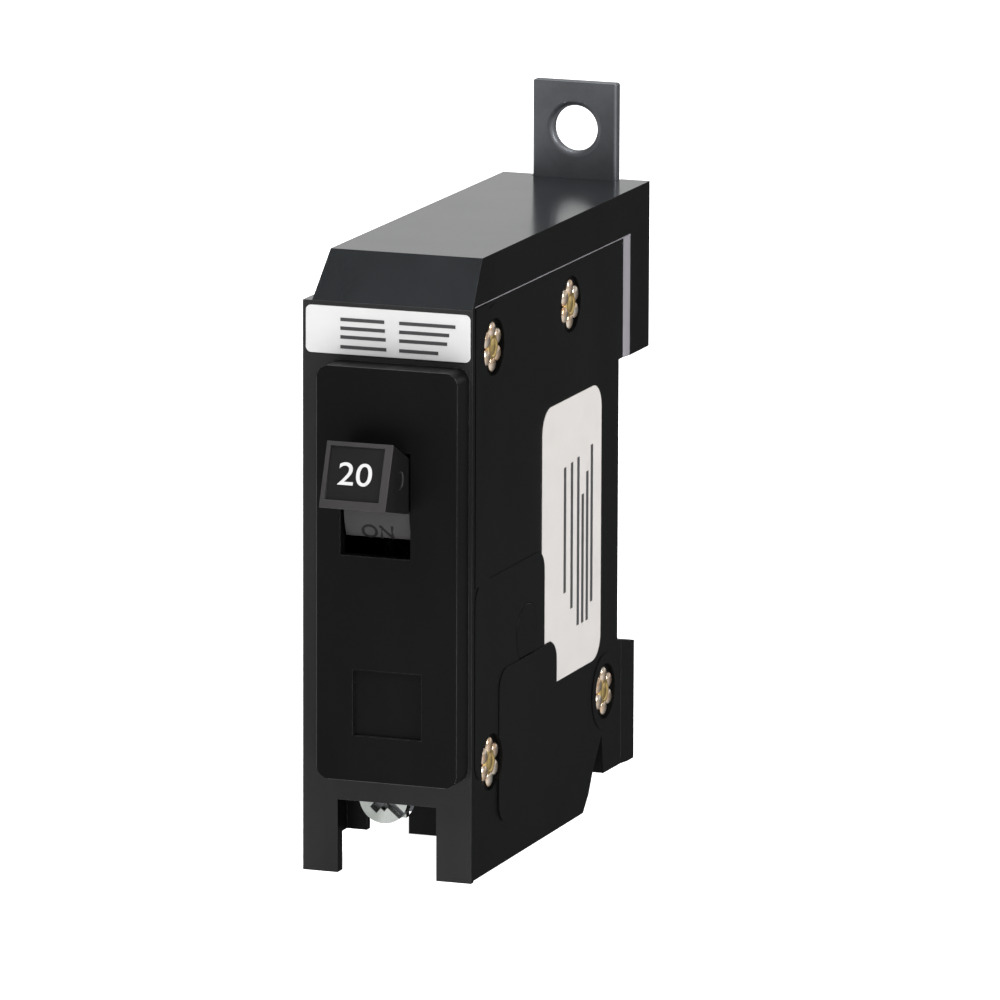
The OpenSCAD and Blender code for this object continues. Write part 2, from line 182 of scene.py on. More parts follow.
def moulded(name, colour, edge, rough, gloss):
    """Moulded phenolic or nylon: fine grain, faint flow marks and a few rubbed patches."""
    tree, bsdf = shader(name, Specular_IOR_Level=gloss)
    flow = object_noise(tree, 70.0, 3.0, (1, 1, 0.35))
    grain = object_noise(tree, 2600.0, 2.0)
    tone = blend_colours(tree, span(tree, flow, 0.0, 1.0), shaded(colour, 0.8), shaded(colour, 1.2))
    scuffs = object_noise(tree, 260.0, 6.0, (1, 1, 0.5), 0.7)
    rubbed = blend_colours(tree, span(tree, scuffs, 0.0, 0.6, 0.68, 0.82), tone, edge)
    tree.links.new(rubbed, bsdf.inputs["Base Color"])
    tree.links.new(span(tree, flow, rough * 0.92, rough * 1.12), bsdf.inputs["Roughness"])
    add_bump(tree, bsdf, grain, 0.12, 0.04 * MM)


def metal(name, colour, dull, rough, scale=120.0, stretch=(1, 1, 1)):
    """Metal with a brushed or tarnished skin that drifts between two tones."""
    tree, bsdf = shader(name, Metallic=1.0, Specular_IOR_Level=0.5)
    patches = object_noise(tree, scale, 5.0)
    lines = object_noise(tree, scale * 14, 2.0, stretch)
    tone = blend_colours(tree, span(tree, patches, 0.0, 1.0, 0.35, 0.65), colour, dull)
    tree.links.new(tone, bsdf.inputs["Base Color"])
    tree.links.new(span(tree, lines, rough - 0.07, rough + 0.1), bsdf.inputs["Roughness"])
    add_bump(tree, bsdf, lines, 0.15, GRAIN_BUMP)


def printed_film(name, colour):
    """Satin label film with a faint paper mottle."""
    tree, bsdf = shader(name, Specular_IOR_Level=0.3)
    mottle = object_noise(tree, 420.0, 4.0)
    tone = blend_colours(tree, span(tree, mottle, 0.0, 1.0), shaded(colour, 0.96), colour)
    tree.links.new(tone, bsdf.inputs["Base Color"])
    tree.links.new(span(tree, mottle, 0.46, 0.58), bsdf.inputs["Roughness"])
    add_bump(tree, bsdf, mottle, 0.05, GRAIN_BUMP)


def pressed_fibre(name, colour):
    """Vulcanised fibre board with layered streaks."""
    tree, bsdf = shader(name, Specular_IOR_Level=0.25)
    streaks = object_noise(tree, 300.0, 4.0, (1, 1, 6))
    tone = blend_colours(tree, span(tree, streaks, 0.0, 1.0), shaded(colour, 0.7), colour)
    tree.links.new(tone, bsdf.inputs["Base Color"])
    tree.links.new(span(tree, streaks, 0.6, 0.85), bsdf.inputs["Roughness"])
    add_bump(tree, bsdf, streaks, 0.3, 0.08 * MM)


def make_materials(looks):
    moulded("case_black", looks.case_colour, (0.014, 0.014, 0.015), looks.case_roughness, 0.10)
    moulded("frame_black", looks.frame_colour, (0.03, 0.03, 0.03), 0.42, 0.10)
    # Painted light: the nose gets a lighter, bluer black than the rest of the same moulding.
    moulded("nose_black_painted_light", looks.nose_painted_light_colour, (0.02, 0.021, 0.022), 0.16, 0.5)
    moulded("panel_black", looks.panel_colour, (0.012, 0.012, 0.012), 0.36, 0.07)
    # Painted highlight: a light grey for the rounded edge and fillet faces of the case, standing in for
    # bright edge highlights.
    moulded("edge_highlight_paint", (0.11, 0.11, 0.113), (0.06, 0.06, 0.06), 0.30, 0.6)
    # Painted highlight: a light grey for the step faces along the nose flange, standing in for the grey
    # highlight line there.
    moulded("rim_highlight_paint", (0.20, 0.19, 0.21), (0.26, 0.25, 0.27), 0.34, 0.35)
    # Painted shade: a darker black for the handle's flat sides, which lie in shadow.
    moulded("grip_side_shade_paint", (0.009, 0.0085, 0.0085), (0.02, 0.02, 0.02), 0.40, 0.12)
    moulded("handle_grey", looks.handle_colour, (0.07, 0.066, 0.066), 0.34, 0.2)
    moulded("handle_face", (0.013, 0.0125, 0.0125), (0.03, 0.03, 0.03), 0.30, 0.2)
    printed_film("label_film", looks.label_colour)
    printed_film("side_film", looks.side_label_colour)
    printed_film("print_ink", (0.05, 0.05, 0.052))
    printed_film("white_ink", (0.62, 0.62, 0.62))
    printed_film("black_ink", (0.006, 0.006, 0.006))
    metal("rolled_brass", (0.92, 0.70, 0.28), (0.72, 0.50, 0.20), 0.34, 900.0)
    metal("petal_tin", (0.90, 0.84, 0.74), (0.82, 0.55, 0.34), 0.28, 700.0)
    metal("dull_tin", (0.26, 0.27, 0.29), (0.21, 0.22, 0.235), 0.46, 160.0, (1, 1, 6))
    metal("bare_copper", (0.72, 0.36, 0.22), (0.46, 0.22, 0.13), 0.32)
    metal("contact_silver", (0.82, 0.81, 0.78), (0.6, 0.59, 0.56), 0.28, 500.0)
    metal("zinc_plate", (0.72, 0.75, 0.72), (0.50, 0.53, 0.50), 0.28, 300.0)
    metal("rolled_steel", (0.30, 0.31, 0.32), (0.18, 0.18, 0.19), 0.42)
    metal("spring_wire", (0.55, 0.55, 0.53), (0.38, 0.38, 0.37), 0.25, 400.0)
    metal("bimetal_skin", (0.60, 0.54, 0.44), (0.42, 0.38, 0.33), 0.33, 200.0)
    pressed_fibre("fibre_board", (0.34, 0.20, 0.11))


CARRIED_OVER = {
    "fixed_contact": "contact_silver",
    "line_barrier": "fibre_board",
    "contact_arm": "bare_copper",
    "moving_contact": "contact_silver",
    "arm_pin": "rolled_steel",
    "mechanism_frame": "zinc_plate",
    "cradle": "zinc_plate",
    "cradle_pin": "rolled_steel",
    "bimetal": "bimetal_skin",
    "bimetal_rivets": "rolled_brass",
    "magnet_yoke": "rolled_steel",
    "armature": "rolled_steel",
    "armature_pin": "rolled_steel",
    "arc_chute_walls": "fibre_board",
    "arc_vent_baffle": "fibre_board",
    "load_strap": "dull_tin",
    "clamp_plate": "zinc_plate",
    "calibration_screw": "rolled_brass",
}

# ---------- mesh helpers ----------


def give(obj, *materials):
    obj.data.materials.clear()
    for m in materials:
        obj.data.materials.append(MATERIALS[m])


def mesh_object(name, mesh):
    obj = bpy.data.objects.new(name, mesh)
    bpy.context.scene.collection.objects.link(obj)
    return obj


def softened(node, name, width, segments=3, facet=SHARP_ANGLE, weight=None, edge_slot=-1):
    """A copy of a frame node with merged faces and rounded edges.

    Each sharp edge is rounded by width times weight(middle, edge), or by width where there is no weight.
    """
    bm = bmesh.new()
    bm.from_mesh(frame["nodes"][node].data)
    bmesh.ops.remove_doubles(bm, verts=bm.verts, dist=2e-6)
    bmesh.ops.dissolve_limit(bm, angle_limit=math.radians(0.6), verts=bm.verts, edges=bm.edges)
    bmesh.ops.recalc_face_normals(bm, faces=bm.faces)
    layer = bm.edges.layers.float.new("bevel_weight_edge")
    for e in bm.edges:
        if len(e.link_faces) == 2 and e.calc_face_angle(0) > math.radians(facet):
            e[layer] = weight((e.verts[0].co + e.verts[1].co) / 2, e) if weight else 1.0
    mesh = bpy.data.meshes.new(name)
    bm.to_mesh(mesh)
    bm.free()
    for p in mesh.polygons:
        p.use_smooth = True
    mesh.set_sharp_from_angle(angle=math.radians(facet))
    obj = mesh_object(name, mesh)
    bevel = obj.modifiers.new("Rounded edges", "BEVEL")
    bevel.limit_method = "WEIGHT"
    bevel.width = width
    bevel.segments = segments
    bevel.use_clamp_overlap = True
    bevel.material = edge_slot
    even = obj.modifiers.new("Even shading", "WEIGHTED_NORMAL")
    even.weight = 100
    even.keep_sharp = True
    return obj


def stand_for(obj, node):
    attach(obj, frame["nodes"][node]["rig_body"])
    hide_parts(node)


# ---------- Geometry Nodes helpers ----------


def new_tree(name, **inputs):
    tree = bpy.data.node_groups.new(name, "GeometryNodeTree")
    tree.interface.new_socket("Geometry", in_out="INPUT", socket_type="NodeSocketGeometry")
    for key, value in inputs.items():
        kind = "NodeSocketInt" if isinstance(value, int) else "NodeSocketFloat"
        socket = tree.interface.new_socket(key.replace("_", " "), in_out="INPUT", socket_type=kind)
        socket.default_value = value
    tree.interface.new_socket("Geometry", in_out="OUTPUT", socket_type="NodeSocketGeometry")
    entry = tree.nodes.new("NodeGroupInput")
    leave = tree.nodes.new("NodeGroupOutput")
    return tree, entry, leave


def join_up(tree, *pairs):
    for a, b in pairs:
        tree.links.new(a, b)


def finish_tree(tree, leave, geometry, material):
    realize = node_in(tree, "GeometryNodeRealizeInstances")
    paint = node_in(tree, "GeometryNodeSetMaterial")
    paint.inputs["Material"].default_value = MATERIALS[material]
    join_up(
        tree,
        (geometry, realize.inputs[0]),
        (realize.outputs[0], paint.inputs["Geometry"]),
        (paint.outputs[0], leave.inputs[0]),
    )


def grown(name, seed_mesh, tree, values):
    """Runs a tree on a small seed mesh and returns a plain mesh object."""
    holder = mesh_object(name + "_seed", seed_mesh)
    modifier = holder.modifiers.new("Grow", "NODES")
    modifier.node_group = tree
    for item in tree.interface.items_tree:
        if item.in_out == "INPUT" and item.name in values:
            modifier[item.identifier] = values[item.name]
    graph = bpy.context.evaluated_depsgraph_get()
    mesh = bpy.data.meshes.new_from_object(holder.evaluated_get(graph), depsgraph=graph)
    bpy.data.objects.remove(holder)
    mesh.name = name
    return mesh_object(name, mesh)


def points_mesh(name, points, edges=()):
    mesh = bpy.data.meshes.new(name)
    mesh.from_pydata([tuple(p) for p in points], list(edges), [])
    return mesh


def shade(obj, angle=35.0):
    for p in obj.data.polygons:
        p.use_smooth = True
    obj.data.set_sharp_from_angle(angle=math.radians(angle))


def petal_tree():
    """Rolled star: plump lobes set round the middle of a rivet, all from one rounded blank."""
    tree, entry, leave = new_tree(
        "Rolled rivet star", Petals=6, Reach=2.4 * MM, Length=1.25 * MM, Width=1.2 * MM, Height=0.58 * MM)
    blank = node_in(tree, "GeometryNodeMeshUVSphere", Segments=20, Rings=12, Radius=1.0)
    size = node_in(tree, "ShaderNodeCombineXYZ")
    lobe = node_in(tree, "GeometryNodeTransform")
    ring = node_in(tree, "GeometryNodeMeshCircle")
    spread = node_in(tree, "GeometryNodeInstanceOnPoints")
    heading = node_in(tree, "FunctionNodeAlignRotationToVector", axis="X", pivot_axis="Z")
    place = node_in(tree, "GeometryNodeInputPosition")
    join_up(
        tree,
        (entry.outputs["Length"], size.inputs["X"]),
        (entry.outputs["Width"], size.inputs["Y"]),
        (entry.outputs["Height"], size.inputs["Z"]),
        (blank.outputs["Mesh"], lobe.inputs["Geometry"]),
        (size.outputs[0], lobe.inputs["Scale"]),
        (entry.outputs["Petals"], ring.inputs["Vertices"]),
        (entry.outputs["Reach"], ring.inputs["Radius"]),
        (ring.outputs[0], spread.inputs["Points"]),
        (lobe.outputs[0], spread.inputs["Instance"]),
        (place.outputs[0], heading.inputs["Vector"]),
        (heading.outputs[0], spread.inputs["Rotation"]),
    )
    return tree, entry, leave, spread.outputs[0]


def star_heads(centres, face_x, petal_count):
    """Rolled petals on each rivet centre, turned to look along +X."""
    tree, entry, leave, petals = petal_tree()
    turned = node_in(tree, "GeometryNodeTransform")
    turned.inputs["Rotation"].default_value = (0.0, math.pi / 2, 0.0)
    copies = node_in(tree, "GeometryNodeInstanceOnPoints")
    join_up(
        tree,
        (petals, turned.inputs["Geometry"]),
        (entry.outputs["Geometry"], copies.inputs["Points"]),
        (turned.outputs[0], copies.inputs["Instance"]),
    )
    finish_tree(tree, leave, copies.outputs[0], "petal_tin")
    seats = [Vector((face_x, c.y, c.z)) for c in centres]
    stars = grown("rivet_stars", points_mesh("rivet_seats", seats), tree, {"Petals": petal_count})
    shade(stars, 60.0)
    return stars


def lathe(name, profile, centres):
    """Turned pieces about +X: profile is (offset along X, radius), one piece at each centre."""
    steps = 40
    bm = bmesh.new()
    for c in centres:
        rows = []
        for x, r in profile:
            if r < 1e-7:
                rows.append([bm.verts.new((c.x + x, c.y, c.z))])
            else:
                rows.append([
                    bm.verts.new((
                        c.x + x,
                        c.y + r * math.cos(math.tau * i / steps),
                        c.z + r * math.sin(math.tau * i / steps),
                    ))
                    for i in range(steps)
                ])
        for a, b in zip(rows, rows[1:]):
            for i in range(steps):
                j = (i + 1) % steps
                ring = [a[i % len(a)], a[j % len(a)], b[j % len(b)], b[i % len(b)]]
                face = list(dict.fromkeys(ring))
                if len(face) > 2:
                    bm.faces.new(face)
    bmesh.ops.recalc_face_normals(bm, faces=bm.faces)
    mesh = bpy.data.meshes.new(name)
    bm.to_mesh(mesh)
    bm.free()
    obj = mesh_object(name, mesh)
    shade(obj, 40.0)
    return obj


def merged(name, *objects):
    """Joins plain meshes into one object, keeping each one's materials."""
    bm = bmesh.new()
    mesh = bpy.data.meshes.new(name)
    for o in objects:
        first = len(mesh.materials)
        for m in o.data.materials:
            mesh.materials.append(m)
        start = len(bm.faces)
        bm.from_mesh(o.data)
        bm.faces.ensure_lookup_table()
        for f in bm.faces[start:]:
            f.material_index += first
    bm.to_mesh(mesh)
    bm.free()
    for o in objects:
        bpy.data.objects.remove(o)
    return mesh_object(name, mesh)


def coil_tree(material):
    tree, entry, leave = new_tree(
        "Round wire coil", Turns=6.0, Coil_radius=1.7 * MM, Length=9.6 * MM, Wire_radius=0.3 * MM)
    spiral = node_in(tree, "GeometryNodeCurveSpiral", Resolution=28)
    section = node_in(tree, "GeometryNodeCurvePrimitiveCircle", Resolution=10)
    wire = node_in(tree, "GeometryNodeCurveToMesh")
    wire.inputs["Fill Caps"].default_value = True
    join_up(
        tree,
        (entry.outputs["Turns"], spiral.inputs["Rotations"]),
        (entry.outputs["Coil radius"], spiral.inputs["Start Radius"]),
        (entry.outputs["Coil radius"], spiral.inputs["End Radius"]),
        (entry.outputs["Length"], spiral.inputs["Height"]),
        (entry.outputs["Wire radius"], section.inputs["Radius"]),
        (spiral.outputs[0], wire.inputs["Curve"]),
        (section.outputs[0], wire.inputs["Profile Curve"]),
    )
    finish_tree(tree, leave, wire.outputs[0], material)
    return tree


def placed(obj, matrix):
    obj.data.transform(matrix)
    obj.data.update()
    return obj


def bar_tree(material):
    """Short printed bars set out in rows, each with its own length."""
    tree, entry, leave = new_tree(
        "Printed bars", Seed=3, Bar_height=0.6 * MM, Bar_length=8.0 * MM, Film=PRINT_FILM)
    random = node_in(tree, "FunctionNodeRandomValue", data_type="FLOAT")
    random.inputs[2].default_value = 0.55
    random.inputs[3].default_value = 1.0
    length = node_in(tree, "ShaderNodeMath", operation="MULTIPLY")
    size = node_in(tree, "ShaderNodeCombineXYZ")
    unit = node_in(tree, "GeometryNodeMeshCube")
    unit.inputs["Size"].default_value = (1.0, 1.0, 1.0)
    shift = node_in(tree, "GeometryNodeTransform")
    shift.inputs["Translation"].default_value = (0.5, 0.0, 0.5)
    bars = node_in(tree, "GeometryNodeInstanceOnPoints")
    join_up(
        tree,
        (entry.outputs["Seed"], random.inputs["Seed"]),
        (random.outputs[1], length.inputs[0]),
        (entry.outputs["Bar length"], length.inputs[1]),
        (length.outputs[0], size.inputs["X"]),
        (entry.outputs["Bar height"], size.inputs["Y"]),
        (entry.outputs["Film"], size.inputs["Z"]),
        (unit.outputs["Mesh"], shift.inputs["Geometry"]),
        (entry.outputs["Geometry"], bars.inputs["Points"]),
        (shift.outputs[0], bars.inputs["Instance"]),
        (size.outputs[0], bars.inputs["Scale"]),
    )
    finish_tree(tree, leave, bars.outputs[0], material)
    return tree


def braid_tree():
    """Strands wound both ways round a path, as a flat woven rope."""
    tree, entry, leave = new_tree(
        "Woven strands", Strands=6, Winds=7.0, Rope_radius=0.62 * MM, Strand_radius=0.26 * MM)
    path = node_in(tree, "GeometryNodeMeshToCurve")
    even = node_in(tree, "GeometryNodeResampleCurve", Count=150)
    many = node_in(tree, "GeometryNodeDuplicateElements", domain="SPLINE")
    copy = node_in(tree, "GeometryNodeStoreNamedAttribute", data_type="INT", domain="CURVE")
    copy.inputs["Name"].default_value = "strand"
    strand = node_in(tree, "GeometryNodeInputNamedAttribute", data_type="INT")
    strand.inputs["Name"].default_value = "strand"
    along = node_in(tree, "GeometryNodeSplineParameter")
    normal = node_in(tree, "GeometryNodeInputNormal")
    tangent = node_in(tree, "GeometryNodeInputTangent")
    side = node_in(tree, "ShaderNodeVectorMath", operation="CROSS_PRODUCT")
    # odd strands wind the other way
    odd = node_in(tree, "ShaderNodeMath", operation="MODULO")
    odd.inputs[1].default_value = 2.0
    flip = node_in(tree, "ShaderNodeMath", operation="MULTIPLY_ADD")
    flip.inputs[1].default_value = -2.0
    flip.inputs[2].default_value = 1.0
    winds = node_in(tree, "ShaderNodeMath", operation="MULTIPLY")
    turned = node_in(tree, "ShaderNodeMath", operation="MULTIPLY")
    share = node_in(tree, "ShaderNodeMath", operation="DIVIDE")
    total = node_in(tree, "ShaderNodeMath", operation="MULTIPLY_ADD")
    angle = node_in(tree, "ShaderNodeMath", operation="MULTIPLY")
    angle.inputs[1].default_value = math.tau
    cosine = node_in(tree, "ShaderNodeMath", operation="COSINE")
    sine = node_in(tree, "ShaderNodeMath", operation="SINE")
    out_a = node_in(tree, "ShaderNodeVectorMath", operation="SCALE")
    out_b = node_in(tree, "ShaderNodeVectorMath", operation="SCALE")
    both = node_in(tree, "ShaderNodeVectorMath", operation="ADD")
    reach = node_in(tree, "ShaderNodeVectorMath", operation="SCALE")
    move = node_in(tree, "GeometryNodeSetPosition")
    section = node_in(tree, "GeometryNodeCurvePrimitiveCircle", Resolution=8)
    wire = node_in(tree, "GeometryNodeCurveToMesh")
    wire.inputs["Fill Caps"].default_value = True
    join_up(
        tree,
        (entry.outputs["Geometry"], path.inputs["Mesh"]),
        (path.outputs[0], even.inputs["Curve"]),
        (even.outputs[0], many.inputs["Geometry"]),
        (entry.outputs["Strands"], many.inputs["Amount"]),
        (many.outputs[0], copy.inputs["Geometry"]),
        (many.outputs[1], copy.inputs["Value"]),
        (normal.outputs[0], side.inputs[0]),
        (tangent.outputs[0], side.inputs[1]),
        (strand.outputs[0], odd.inputs[0]),
        (odd.outputs[0], flip.inputs[0]),
        (along.outputs["Factor"], winds.inputs[0]),
        (entry.outputs["Winds"], winds.inputs[1]),
        (winds.outputs[0], turned.inputs[0]),
        (flip.outputs[0], turned.inputs[1]),
        (strand.outputs[0], share.inputs[0]),
        (entry.outputs["Strands"], share.inputs[1]),
        (share.outputs[0], total.inputs[0]),
        (turned.outputs[0], total.inputs[2]),
        (total.outputs[0], angle.inputs[0]),
        (angle.outputs[0], cosine.inputs[0]),
        (angle.outputs[0], sine.inputs[0]),
        (normal.outputs[0], out_a.inputs[0]),
        (cosine.outputs[0], out_a.inputs["Scale"]),
        (side.outputs[0], out_b.inputs[0]),
        (sine.outputs[0], out_b.inputs["Scale"]),
        (out_a.outputs[0], both.inputs[0]),
        (out_b.outputs[0], both.inputs[1]),
        (both.outputs[0], reach.inputs[0]),
        (entry.outputs["Rope radius"], reach.inputs["Scale"]),
        (copy.outputs[0], move.inputs["Geometry"]),
        (reach.outputs[0], move.inputs["Offset"]),
        (move.outputs[0], wire.inputs["Curve"]),
        (entry.outputs["Strand radius"], section.inputs["Radius"]),
        (section.outputs[0], wire.inputs["Profile Curve"]),
    )
    total.inputs[1].default_value = 1.0
    finish_tree(tree, leave, wire.outputs[0], "bare_copper")
    return tree


def plate_tree():
    """Arc plates stacked at an even pitch from one stamped blank."""
    tree, entry, leave = new_tree("Stacked plates", Count=6, Pitch=2.8 * MM)
    line = node_in(tree, "GeometryNodeMeshLine")
    step = node_in(tree, "ShaderNodeCombineXYZ")
    stack = node_in(tree, "GeometryNodeInstanceOnPoints")
    join_up(
        tree,
        (entry.outputs["Count"], line.inputs["Count"]),
        (entry.outputs["Pitch"], step.inputs["Z"]),
        (step.outputs[0], line.inputs["Offset"]),
        (line.outputs[0], stack.inputs["Points"]),
        (entry.outputs["Geometry"], stack.inputs["Instance"]),
    )
    finish_tree(tree, leave, stack.outputs[0], "rolled_steel")
    return tree


# ---------- settings ----------


class BreakerLooks(bpy.types.PropertyGroup):
    case_colour: bpy.props.FloatVectorProperty(
        name="Case colour", description="Colour of the moulded side and frame", subtype="COLOR",
        default=(0.0038, 0.0041, 0.0040))
    # Painted light: the nose's lighter black stands in for the light falling on it.
    nose_painted_light_colour: bpy.props.FloatVectorProperty(
        name="Nose colour", description="Colour of the polished nose", subtype="COLOR",
        default=(0.015, 0.017, 0.019))
    panel_colour: bpy.props.FloatVectorProperty(
        name="Panel colour", description="Colour of the raised front panel", subtype="COLOR",
        default=(0.0045, 0.0045, 0.0046))
    handle_colour: bpy.props.FloatVectorProperty(
        name="Handle colour", description="Colour of the handle", subtype="COLOR",
        default=(0.042, 0.040, 0.040))
    label_colour: bpy.props.FloatVectorProperty(
        name="Front label colour", description="Colour of the front label film", subtype="COLOR",
        default=(0.60, 0.60, 0.60))
    side_label_colour: bpy.props.FloatVectorProperty(
        name="Side label colour", description="Colour of the side label film", subtype="COLOR",
        default=(0.47, 0.45, 0.435))
    frame_colour: bpy.props.FloatVectorProperty(
        name="Frame colour", description="Colour of the flat frame round the panel", subtype="COLOR",
        default=(0.022, 0.022, 0.022))
    case_roughness: bpy.props.FloatProperty(
        name="Case roughness", description="Roughness of the moulded case", subtype="FACTOR",
        default=0.38, min=0.05, max=1.0)


class BreakerSizes(bpy.types.PropertyGroup):
    edge_radius: bpy.props.FloatProperty(
        name="Edge radius", description="Rounding of the moulded edges", subtype="DISTANCE", unit="LENGTH",
        default=0.25 * MM, min=0.05 * MM, max=0.5 * MM)
    panel_radius: bpy.props.FloatProperty(
        name="Panel radius", description="Rounding of the raised panel's edges",
        subtype="DISTANCE", unit="LENGTH",
        default=0.9 * MM, min=0.2 * MM, max=1.2 * MM)
    petals: bpy.props.IntProperty(
        name="Rivet petals", description="Curled petals on each rivet", default=6, min=4, max=8)
    strap_radius: bpy.props.FloatProperty(
        name="Strap edge radius", description="Rounding of the tongue's edges",
        subtype="DISTANCE", unit="LENGTH",
        default=0.35 * MM, min=0.05 * MM, max=0.6 * MM)


class BreakerOperator:
    bl_options = {"REGISTER", "UNDO"}


# ---------- pieces ----------


class BREAKER_OT_materials(BreakerOperator, bpy.types.Operator):
    """Make every finish and put it on the carried-over pieces"""

    bl_idname = "breaker.materials"
    bl_label = "Finishes"

    def execute(self, context):
        make_materials(context.scene.breaker_looks)
        for node, material in CARRIED_OVER.items():
            give(frame["nodes"][node], material)
        return {"FINISHED"}


class BREAKER_OT_case(BreakerOperator, bpy.types.Operator):
    """Round the edges of the base shell and the side cover"""

    bl_idname = "breaker.case"
    bl_label = "Case"

    def execute(self, context):
        sizes = context.scene.breaker_sizes
        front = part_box("front_label")[0].y + LABEL_FILM
        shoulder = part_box("side_cover")[1].z + 0.1 * MM
        self.shell(sizes, front, shoulder)
        cover = softened("side_cover", "side_cover_moulding", 0.2 * MM, 2)
        give(cover, "case_black")
        stand_for(cover, "side_cover")
        plug = softened("calibration_plug", "calibration_plug_disc", 0.15 * MM, 2)
        give(plug, "panel_black")
        stand_for(plug, "calibration_plug")
        return {"FINISHED"}

    def shell(self, sizes, front, shoulder):
        """Wide rounding on the raised panel and fine rounding elsewhere, in one finish for each region."""
        fine = sizes.edge_radius / sizes.panel_radius
        slot_half_width = 7.2 * MM
        slot_bottom = 20 * MM
        slot_top = 61 * MM

        def rounding(middle, edge):
            outside = middle.y < front - 0.45 * MM
            rim = middle.y < front - 3.0 * MM
            slot = abs(middle.x) < slot_half_width and slot_bottom < middle.z < slot_top
            if outside and not slot and edge.calc_length() > 1.0 * MM:
                return 1.0 if rim else 0.5
            return fine

        # The bevel faces and the side fillets near the front get a light grey as painted highlight, the step
        # faces at the nose a lighter grey as painted highlight, and the nose a lighter black as painted
        # light.
        case, nose, panel, flat_frame, edge_highlight_slot, rim_highlight_slot = range(6)
        obj = softened(
            "base_shell", "base_shell_moulding", sizes.panel_radius, 4, weight=rounding, edge_slot=edge_highlight_slot)
        give(obj, "case_black", "nose_black_painted_light", "panel_black", "frame_black", "edge_highlight_paint", "rim_highlight_paint")
        cover_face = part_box("side_label")[0].x + 0.02 * MM
        nose_bottom = 60 * MM
        nose_back = front + 63 * MM
        for p in obj.data.polygons:
            if p.center.x > cover_face and 0.5 < p.normal.x < 0.995:
                # Fillet faces on the side near the front take the light grey as a painted highlight.
                if p.center.y <= front + 8 * MM:
                    p.material_index = edge_highlight_slot
                else:
                    # Higher up at the nose these faces take the lighter grey as a painted highlight.
                    p.material_index = rim_highlight_slot if p.center.z > nose_bottom else case
            # The nose faces take the lighter black as painted light.
            elif p.center.z > shoulder - 0.2 * MM or (p.center.y > nose_back and p.center.z > nose_bottom):
                p.material_index = nose
            elif p.center.y < front - 0.6 * MM:
                p.material_index = panel
            elif p.center.y < front + 0.1 * MM and p.normal.y < -0.9:
                p.material_index = flat_frame
        stand_for(obj, "base_shell")


class BREAKER_OT_rivets(BreakerOperator, bpy.types.Operator):
    """Set a rolled star rivet in each recess of the side cover"""

    bl_idname = "breaker.rivets"
    bl_label = "Rivets"

    def execute(self, context):
        low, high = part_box("case_rivets")
        centres = [(a + b) / 2 for a, b in separate_boxes("case_rivets")]
        seat_x = high.x - 0.7 * MM
        petals = context.scene.breaker_sizes.petals
        stars = star_heads(centres, seat_x + 0.12 * MM, petals)
        dome = lathe("rivet_domes", [
            (0.0, 2.1 * MM), (0.32 * MM, 2.0 * MM), (0.52 * MM, 1.75 * MM), (0.55 * MM, 1.45 * MM),
            (0.40 * MM, 1.2 * MM), (0.50 * MM, 0.9 * MM), (0.62 * MM, 0.5 * MM), (0.67 * MM, 0.0),
        ], [Vector((seat_x, c.y, c.z)) for c in centres])
        give(dome, "rolled_brass")
        shank_end = high.x - 0.75 * MM - low.x
        shank_radius = 1.5 * MM
        head_depth = 0.6 * MM
        shank = lathe("rivet_shanks", [
            (0.0, 0.0), (0.0, 2.6 * MM), (0.15 * MM, 3.1 * MM), (0.35 * MM, 3.3 * MM), (head_depth, 3.3 * MM),
            (head_depth, shank_radius), (shank_end, shank_radius), (shank_end, 0.0),
        ], [Vector((low.x, c.y, c.z)) for c in centres])
        give(shank, "rolled_brass")
        rivets = merged("star_rivets", stars, dome, shank)
        stand_for(rivets, "case_rivets")
        return {"FINISHED"}


class BREAKER_OT_labels(BreakerOperator, bpy.types.Operator):
    """Lay the two label films with plain printed bars"""

    bl_idname = "breaker.labels"
    bl_label = "Labels"

    def execute(self, context):
        for node, film in (("front_label", "label_film"), ("side_label", "side_film")):
            obj = softened(node, node + "_film", 0.03 * MM, 1, 60.0)
            give(obj, film)
            stand_for(obj, node)
        tree = bar_tree("print_ink")
        for bars in (self.front_bars(tree), self.side_bars(tree)):
            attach(bars, "case")
        return {"FINISHED"}

    def front_bars(self, tree):
        """Four rows of bars in two columns, facing -Y."""
        low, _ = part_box("front_label")
        row_heights = (4.95 * MM, 3.7 * MM, 2.45 * MM, 1.05 * MM)
        column_starts = (5.2 * MM, 14.0 * MM)
        starts = [Vector((x, y, 0)) for y in row_heights for x in column_starts]
        bars = grown("front_label_bars", points_mesh("front_rows", starts), tree, {
            "Seed": 5, "Bar height": 0.5 * MM, "Bar length": 8.4 * MM, "Film": PRINT_FILM})
        return placed(bars, Matrix.Translation(low) @ Matrix.Rotation(math.pi / 2, 4, "X"))

    def side_bars(self, tree):
        """Six upright bars, facing +X. Each start is (height above the label's foot, place across it)."""
        low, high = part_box("side_label")
        starts = [
            Vector((z * MM, y * MM, 0))
            for z, y in ((12.4, 9.4), (9.6, 12.3), (6.6, 15.0), (6.6, 16.9), (6.6, 18.8), (9.0, 20.7))
        ]
        bars = grown("side_label_bars", points_mesh("side_rows", starts), tree, {
            "Seed": 2, "Bar height": 0.95 * MM, "Bar length": 28.0 * MM, "Film": PRINT_FILM})
        placed(bars, Matrix(((0, 0, 1, high.x), (0, 1, 0, low.y), (1, 0, 0, low.z), (0, 0, 0, 1))))
        bars.data.flip_normals()
        return bars


